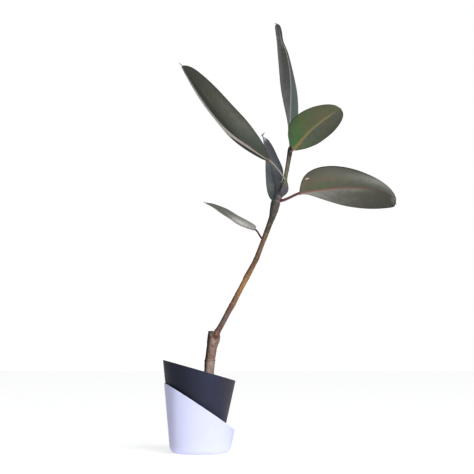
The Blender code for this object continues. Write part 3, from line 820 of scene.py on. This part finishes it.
def paint_white_plastic(colours):
    """Satin white plastic with a soft mottle, a faint moulded skin, painted shade down its left
    and right sides and at its foot, and a painted highlight on the lip."""
    paint = Paint("white_plastic", {"Coat Weight": 0.15, "Coat Roughness": 0.3})
    cloud = paint.noise(0.03, 3.0)
    grain = paint.noise(0.0012, 2.0)
    across, height = paint.along_axis(0), paint.along_axis(2)
    # Painted shade: darker down the pot's left and right sides and towards its foot.
    shade = across.step(-0.038, -0.062) * 0.72 + across.step(0.052, 0.072) * 0.4
    tone = paint.coats(
        colours.white,
        (cloud.step(0.35, 0.7) * 0.35, np.multiply(colours.white, 0.95)),
        (shade + height.step(0.012, 0.0) * 0.4, np.multiply(colours.white, (0.55, 0.52, 0.62))),
        # Painted highlight: the lip is brightened towards near white.
        (paint.attribute("lip") * 0.5, (0.95, 0.96, 0.98)))
    return paint.finish(tone, 0.34 + 0.12 * cloud, grain + 2.0 * cloud, 0.00004, 0.5)


def paint_charcoal_plastic(colours):
    """Dark moulded plastic: fine grain, soft scuffs, dust, painted light on the right side, a painted
    shade band at the right edge and a painted highlight on the lip.
    """
    paint = Paint("charcoal_plastic", {"Specular IOR Level": 0.24})
    scuffs = paint.noise(0.02, 4.0, (1.0, 1.0, 1.6))
    grain = paint.noise(0.0008, 2.0)
    dust = paint.noise(0.05, 2.0)
    across = paint.along_axis(0)
    tone = paint.coats(
        colours.charcoal,
        (scuffs.step(0.35, 0.75), np.multiply(colours.charcoal, 1.25)),
        (dust.step(0.5, 0.8) * 0.1, srgb(116, 114, 124)),
        # Painted light: brighter over the right side; painted shade: a darker band at the right edge.
        (across.step(-0.05, 0.03) * 0.6, np.multiply(colours.charcoal, 3.2)),
        (across.step(0.034, 0.06) * 0.7, srgb(68, 60, 66)),
        # Painted highlight: a pale grey line along the lip.
        (paint.attribute("lip") * 0.7, colours.painted_lip_highlight))
    return paint.finish(tone, 0.42 + 0.2 * scuffs, grain, 0.00005, 0.6)


def paint_soil(colours):
    """Potting soil: dark peat with paler crumbs and fibres, matt and rough."""
    paint = Paint("potting_soil", {"Specular IOR Level": 0.2})
    clods = paint.noise(0.006, 5.0)
    crumbs = paint.spots(0.0028)
    fibres = paint.noise(0.004, 3.0, (3.0, 0.6, 1.0))
    tone = paint.coats(
        colours.soil,
        (clods.step(0.35, 0.7), np.multiply(colours.soil, 2.2)),
        (fibres.step(0.62, 0.72) * 0.6, srgb(112, 88, 62)),
        (crumbs.step(0.28, 0.1) * clods.step(0.5, 0.6) * 0.7, srgb(140, 120, 95)))
    return paint.finish(tone, 0.85 + 0.15 * clods, clods - 0.5 * crumbs, 0.0012, 0.8)


def paint_trunk(colours):
    """Old bark: greyish tan with pinkish and brown patches drawn out along the trunk, corky
    spots, dark cracks, stained spots, painted shade on both sides and most of all the left edge,
    painted shadow under the shoot and round the scar beneath it, and a dry cut face with faint growth
    rings."""
    paint = Paint("trunk_bark", {"Specular IOR Level": 0.3})
    patches = paint.noise(0.012, 3.0, (1.0, 1.0, 1.8))
    streaks = paint.noise(0.0035, 4.0, (1.0, 1.0, 6.0))
    cracks = paint.noise(0.0018, 3.0, (1.0, 1.0, 9.0))
    corks = paint.spots(0.0032, (1.2, 1.2, 0.8))
    height = paint.along_axis(2)
    side, scar, cut = (paint.attribute(mark) for mark in ("side", "scar", "cut"))
    wavy_side = side + 0.3 * (streaks - 0.5)
    # Stains, with painted shadow under the shoot from the dark red spots.
    stains_and_shadows = [(paint.near_point(x, STAIN_AND_SHADOW_DEPTH, z, reach) * strength, srgb(*colour))
              for x, z, reach, strength, colour in TRUNK_STAINS_AND_SHADOWS]
    wood = paint.mix(paint.noise(0.003, 4.0).step(0.3, 0.7), srgb(120, 102, 82), srgb(158, 138, 112))
    tone = paint.coats(
        colours.bark,
        (patches.step(0.35, 0.68), srgb(156, 134, 124)),
        # Painted shade: browner over the left half of the trunk.
        ((side + 0.5 * (patches - 0.5)).step(0.1, -0.6) * 0.6, srgb(112, 90, 74)),
        (streaks.step(0.52, 0.75) * 0.6, srgb(104, 82, 68)),
        (streaks.step(0.42, 0.25) * 0.4, srgb(178, 162, 146)),
        (corks.step(0.24, 0.12) * 0.45, srgb(188, 172, 156)),
        (height.step(0.189, 0.172) * 0.6, srgb(206, 186, 174)),
        ((height - 0.1842).bell(0.0012) * 0.2, srgb(84, 64, 52)),
        (scar * 0.55, srgb(168, 146, 138)),
        # Painted shadow: a dark rim round the raised scar.
        ((scar - 0.5).bell(0.25) * 0.7, srgb(96, 72, 62)),
        (cracks.step(0.6, 0.72) * 0.5, srgb(70, 54, 46)),
        *stains_and_shadows,
        # Painted shade: darker at the right edge and nearly black at the left edge.
        (wavy_side.step(0.35, 0.95) * 0.35, srgb(92, 74, 64)),
        (wavy_side.step(-0.35, -0.9) * 0.9, srgb(50, 42, 38)),
        (cut, wood))
    relief = streaks + 0.6 * cracks - 0.3 * corks.step(0.3, 0.1)
    return paint.finish(tone, 0.62 + 0.25 * streaks, relief, 0.0006, 0.6)


def paint_stem():
    """Young bark that changes up the stem: brown, orange-brown, grey-green, a purple-grey node
    and an olive tip, with fine streaks, small corky spots, pale rings and painted shade down its left
    side."""
    paint = Paint("stem_bark", {"Specular IOR Level": 0.4})
    height = paint.attribute("level")
    low, high = STEM[0, 2], STEM[-1, 2]
    way = (height - low * MM) / ((high - low) * MM)
    streaks = paint.noise(0.0022, 4.0, (1.0, 1.0, 7.0))
    patches = paint.noise(0.007, 3.0, (1.0, 1.0, 2.0))
    corks = paint.spots(0.0026, (1.0, 1.0, 1.6))
    side = paint.attribute("side") + 0.4 * (streaks - 0.5)
    rings = [((height - level * MM).bell(0.0009) * strength, srgb(176, 166, 152))
             for level, strength in STEM_MARKS]
    tone = paint.coats(
        paint.ramp(way, [((z - low) / (high - low), colour) for z, colour in STEM_COLOURS]),
        (streaks.step(0.5, 0.72) * 0.45, srgb(58, 46, 40)),
        (patches.step(0.52, 0.72) * 0.35, srgb(170, 140, 112)),
        (corks.step(0.2, 0.1) * 0.45, srgb(176, 158, 132)),
        # Painted shade: darker down the stem's left side.
        (side.step(-0.2, -0.8) * 0.6, srgb(52, 46, 42)),
        *rings)
    return paint.finish(tone, 0.5 + 0.2 * streaks, streaks + 0.5 * patches, 0.0004, 0.5)


def paint_leaf(name, look):
    """Leathery leaf: two halves that each change from base to tip and dull towards the margin, a
    coloured midrib, faint side veins, soft mottling, marks of tint and blemish and of painted sheen
    and painted shade, a duller back and the petiole."""
    paint = Paint(name, {"Specular IOR Level": 0.35})
    along, edge, from_rib, front, vein = (
        paint.attribute(mark) for mark in ("along", "edge", "from_rib", "front", "vein"))
    cloud, blur, grain = (paint.noise(size, 3.0) for size in (0.016, 0.007, 0.0022))
    patch, margin, back, petiole = (
        srgb(*look[part]) for part in ("patch", "margin", "back", "petiole"))
    mottle = look.get("mottle", 1.0)
    way = along + 0.25 * (cloud - 0.5)
    near, far = (paint.ramp(way, list(zip(HALF_PLACES, look[half]))) for half in ("near", "far"))
    near, far = (paint.mix(edge.step(0.45, 1.0) * dull, half, margin)
                 for half, dull in zip((near, far), look["dull"]))
    if "strip" in look:
        start, end = look["strip"]
        off_strip = edge - (start + (end - start) * along.step(0.1, 0.62))
        far = paint.mix((off_strip * off_strip).step(0.08, 0.04), near, far)
    marks = []
    # Marks are tints and blemishes; some are painted sheen and painted shade, as noted in LEAF_LOOKS.
    for place, off, length, width, strength, colour in look["marks"]:
        spot = ((along - place) / length).bell() * ((from_rib - off * MM) / (width * MM)).bell()
        marks.append((spot * strength, srgb(*colour)))
    ridge = (vein * (2.0 * math.pi)).sine()
    wide, thin = (width * MM for width in look["rib_width"])
    rib = (from_rib / (wide - (wide - thin) * along)).bell() * along.step(1.0, 0.85)
    rib_tone = paint.mix(along.step(0.05, 0.8), *(srgb(*colour) for colour in look["rib"]))
    tone = paint.coats(
        far,
        (from_rib.step(-0.0005, 0.0005), near),
        *marks,
        (1.0 - front, back),
        (cloud.step(0.48, 0.7) * (0.3 * mottle), patch),
        (blur.step(0.5, 0.75) * (0.22 * mottle), margin),
        (grain.step(0.5, 0.8) * (0.12 * mottle), patch),
        (ridge.step(0.9, 1.0) * edge.step(0.98, 0.6) * 0.05, srgb(150, 156, 132)),
        (rib * 0.85, rib_tone),
        (edge.step(0.96, 1.0) * 0.5, margin),
        (along.step(0.02, -0.02), petiole))
    roughness = 0.46 + 0.16 * cloud + 0.1 * (1.0 - front)
    relief = 0.3 * ridge * edge.step(1.0, 0.7) + 0.5 * grain
    return paint.finish(tone, roughness, relief, 0.0001, 0.35 * min(mottle, 1.0))


# Settings and operators

def colour_property(name, description, default):
    return bpy.props.FloatVectorProperty(
        name=name, description=description, default=default, min=0.0, max=1.0, subtype="COLOR")


def number_property(name, description, default, **limits):
    return bpy.props.FloatProperty(name=name, description=description, default=default, **limits)


class PotSettings(bpy.types.PropertyGroup):
    sides: bpy.props.IntProperty(
        name="Sides", description="Faces round each pot", default=240, min=24, max=400)
    skin: number_property(
        "Skin", "How far the fine pot is drawn in from its solid, in millimetres", 0.05, min=0.0, max=0.5)
    white: colour_property("White", "Plastic of the outer pot", (0.63, 0.652, 0.85))
    charcoal: colour_property("Charcoal", "Plastic of the inner pot", (0.016, 0.018, 0.032))
    # Colour of the painted highlight along the inner pot's lip.
    painted_lip_highlight: colour_property("Lip highlight", "Paler lip of the inner pot", srgb(120, 120, 126))
    soil: colour_property("Soil", "Damp potting soil", (0.022, 0.015, 0.010))
    clods: number_property("Clods", "Height of the soil's relief, in millimetres", 1.1, min=0.0)


class BarkSettings(bpy.types.PropertyGroup):
    relief: number_property(
        "Relief", "Strength of the bark's relief", 1.0, min=0.0, max=2.0, subtype="FACTOR")
    bark: colour_property("Bark", "Main tone of the old trunk", srgb(150, 125, 114))


class LeafSettings(bpy.types.PropertyGroup):
    thickness: number_property("Thickness", "Thickness of a blade, in millimetres", 1.2, min=0.3)
    crease: number_property(
        "Crease", "Rounding of the fold, as a share of the half width", 0.06,
        min=0.001, max=0.2, subtype="FACTOR")
    vein_spacing: number_property(
        "Vein spacing", "Distance between side veins, in millimetres", 6.5, min=1.0)
    vein_height: number_property("Vein height", "Lift of the side veins, in millimetres", 0.02, min=0.0)
    waves: number_property("Waves", "Waves along each margin", 2.5, min=0.0)
    wave_height: number_property(
        "Wave height", "Height of the margin's waves, in millimetres", 0.5, min=0.0)


class StageSettings(bpy.types.PropertyGroup):
    camera: bpy.props.FloatVectorProperty(
        name="Camera", description="Place of the camera", default=(0.0722, -2.222, 0.166),
        subtype="TRANSLATION", unit="LENGTH")
    pitch: number_property("Pitch", "Tilt of the camera above the horizon", math.radians(6.68),
                           subtype="ANGLE", unit="ROTATION")
    lens: number_property("Lens", "Focal length", 85.0, min=10.0, unit="CAMERA")
    key: number_property("Key light", "Strength of the soft light from the front right", 2.2, min=0.0)
    side: number_property(
        "Side light", "Strength of the soft light from the right and the back", 0.6, min=0.0)
    fill: number_property("Fill light", "Strength of the even light from all round", 0.15, min=0.0)
    crown: number_property(
        "Upper light", "Power of the softbox at the left of the leaves, in watts", 2.5, min=0.0)
    gamma: number_property("Gamma", "Contrast of the picture, stronger below 1", 0.85, min=0.1)
    glow: number_property("Floor glow", "Light that the white floor adds of its own", 0.65, min=0.0)


class RUBBERPLANT_OT_pots(bpy.types.Operator):
    """Build the white outer pot and the charcoal inner pot"""
    bl_idname = "rubberplant.pots"
    bl_label = "Pots"

    def execute(self, context):
        look = context.scene.rubber_pots
        for name, pot, paint, node, slot in (
                ("white_pot", OUTER_POT, paint_white_plastic, "pot_outer", "white_plastic"),
                ("charcoal_pot", INNER_POT, paint_charcoal_plastic, "pot_inner", "charcoal_plastic")):
            dress(pot_surface(name, pot, paint(look), look.sides, look.skin), node)
        return {"FINISHED"}


class RUBBERPLANT_OT_soil(bpy.types.Operator):
    """Build the crumbly soil in the inner pot"""
    bl_idname = "rubberplant.soil"
    bl_label = "Soil"

    def execute(self, context):
        look = context.scene.rubber_pots
        dress(soil_surface(paint_soil(look), look.clods), "soil")
        return {"FINISHED"}


class RUBBERPLANT_OT_trunk(bpy.types.Operator):
    """Build the old trunk with its rings, scar and cut top"""
    bl_idname = "rubberplant.trunk"
    bl_label = "Trunk"

    def execute(self, context):
        look = context.scene.rubber_bark
        dress(trunk_surface(paint_trunk(look), look.relief), "trunk")
        return {"FINISHED"}


class RUBBERPLANT_OT_stem(bpy.types.Operator):
    """Build the young stem with its rings and swollen node"""
    bl_idname = "rubberplant.stem"
    bl_label = "Stem"

    def execute(self, context):
        look = context.scene.rubber_bark
        dress(stem_surface(paint_stem(), look.relief), "stem")
        return {"FINISHED"}


class RUBBERPLANT_OT_leaves(bpy.types.Operator):
    """Build the six leaves, each with its own colours"""
    bl_idname = "rubberplant.leaves"
    bl_label = "Leaves"

    def execute(self, context):
        look = context.scene.rubber_leaves
        for node, leaf in LEAVES.items():
            name = node.replace("leaf", "blade")
            material = paint_leaf(name + "_green", LEAF_LOOKS[node])
            dress(leaf_surface(name, leaf, material, look), node)
        return {"FINISHED"}


class RUBBERPLANT_OT_stage(bpy.types.Operator):
    """Set up the floor, the soft lights and the camera"""
    bl_idname = "rubberplant.stage"
    bl_label = "Stage"

    def execute(self, context):
        look = context.scene.rubber_stage
        self.make_floor(look)
        for name, strength, spread, tilt, turn in (
                ("key", look.key, 40.0, 58.0, 24.0),
                ("side", look.side, 60.0, 65.0, 105.0)):
            lamp = bpy.data.lights.new(name, "SUN")
            lamp.energy = strength
            lamp.angle = math.radians(spread)
            sun = link(bpy.data.objects.new(name, lamp))
            sun.rotation_euler = (math.radians(tilt), 0.0, math.radians(turn))
        lamp = bpy.data.lights.new("crown", "AREA")
        lamp.energy = look.crown
        lamp.size = 0.5
        softbox = link(bpy.data.objects.new("crown", lamp))
        softbox.location = (-0.55, -0.65, 1.05)
        aim = mathutils.Vector((0.15, 0.0, 0.7)) - softbox.location
        softbox.rotation_euler = aim.to_track_quat("-Z", "Y").to_euler()
        self.make_world(context.scene, look.fill)
        lens = bpy.data.cameras.new("camera")
        lens.lens = look.lens
        lens.sensor_width = 36.0
        camera = link(bpy.data.objects.new("camera", lens))
        camera.location = look.camera
        camera.rotation_euler = (math.radians(90.0) + look.pitch, 0.0, 0.0)
        context.scene.camera = camera
        context.scene.view_settings.view_transform = "Standard"
        context.scene.view_settings.gamma = look.gamma
        return {"FINISHED"}

    @staticmethod
    def make_floor(look):
        """Wide, pale, slightly glowing floor."""
        reach = 60.0
        corners = [(-reach, -reach, 0.0), (reach, -reach, 0.0), (reach, reach, 0.0), (-reach, reach, 0.0)]
        mesh = bpy.data.meshes.new("floor")
        mesh.from_pydata(corners, [], [(0, 1, 2, 3)])
        paint = Paint("pale_floor", {"Base Color": (0.9, 0.9, 0.9), "Roughness": 0.22,
                                     "Emission Color": (1.0, 1.0, 1.0), "Emission Strength": look.glow})
        mesh.materials.append(paint.material)
        floor = link(bpy.data.objects.new("floor", mesh))

    @staticmethod
    def make_world(scene, fill):
        """Even dim light for the plant, and a plain white ground behind it."""
        world = bpy.data.worlds.new("studio")
        world.use_nodes = True
        nodes, links = world.node_tree.nodes, world.node_tree.links
        dim, ground = nodes["Background"], nodes.new("ShaderNodeBackground")
        for node, colour, strength in ((dim, (0.96, 0.98, 1.0, 1.0), fill),
                                       (ground, (1.0, 1.0, 1.0, 1.0), 1.0)):
            node.inputs["Color"].default_value = colour
            node.inputs["Strength"].default_value = strength
        ray = nodes.new("ShaderNodeLightPath")
        choice = nodes.new("ShaderNodeMixShader")
        links.new(ray.outputs["Is Camera Ray"], choice.inputs[0])
        links.new(dim.outputs[0], choice.inputs[1])
        links.new(ground.outputs[0], choice.inputs[2])
        links.new(choice.outputs[0], nodes["World Output"].inputs["Surface"])
        scene.world = world


class RUBBERPLANT_PT_panel(bpy.types.Panel):
    """Sidebar panel with the plant's operators and settings"""
    bl_idname = "RUBBERPLANT_PT_panel"
    bl_label = "Rubber Plant"
    bl_space_type = "VIEW_3D"
    bl_region_type = "UI"
    bl_category = "Rubber Plant"

    def draw(self, context):
        for operator in OPERATORS:
            self.layout.operator(operator.bl_idname)
        for settings in SETTINGS:
            box = self.layout.box()
            group = getattr(context.scene, settings)
            for key in SETTINGS[settings].__annotations__:
                box.prop(group, key)


OPERATORS = (RUBBERPLANT_OT_pots, RUBBERPLANT_OT_soil, RUBBERPLANT_OT_trunk, RUBBERPLANT_OT_stem,
             RUBBERPLANT_OT_leaves, RUBBERPLANT_OT_stage)
SETTINGS = {"rubber_pots": PotSettings, "rubber_bark": BarkSettings,
            "rubber_leaves": LeafSettings, "rubber_stage": StageSettings}


def register():
    for kind in (*SETTINGS.values(), *OPERATORS, RUBBERPLANT_PT_panel):
        bpy.utils.register_class(kind)
    for name, kind in SETTINGS.items():
        setattr(bpy.types.Scene, name, bpy.props.PointerProperty(type=kind))


def unregister():
    for name in SETTINGS:
        delattr(bpy.types.Scene, name)
    for kind in (RUBBERPLANT_PT_panel, *reversed(OPERATORS), *reversed(SETTINGS.values())):
        bpy.utils.unregister_class(kind)


def main():
    register()
    bpy.ops.rubberplant.pots()
    bpy.ops.rubberplant.soil()
    bpy.ops.rubberplant.trunk()
    bpy.ops.rubberplant.stem()
    bpy.ops.rubberplant.leaves()
    bpy.ops.rubberplant.stage()


if __name__ == "__main__":
    main()
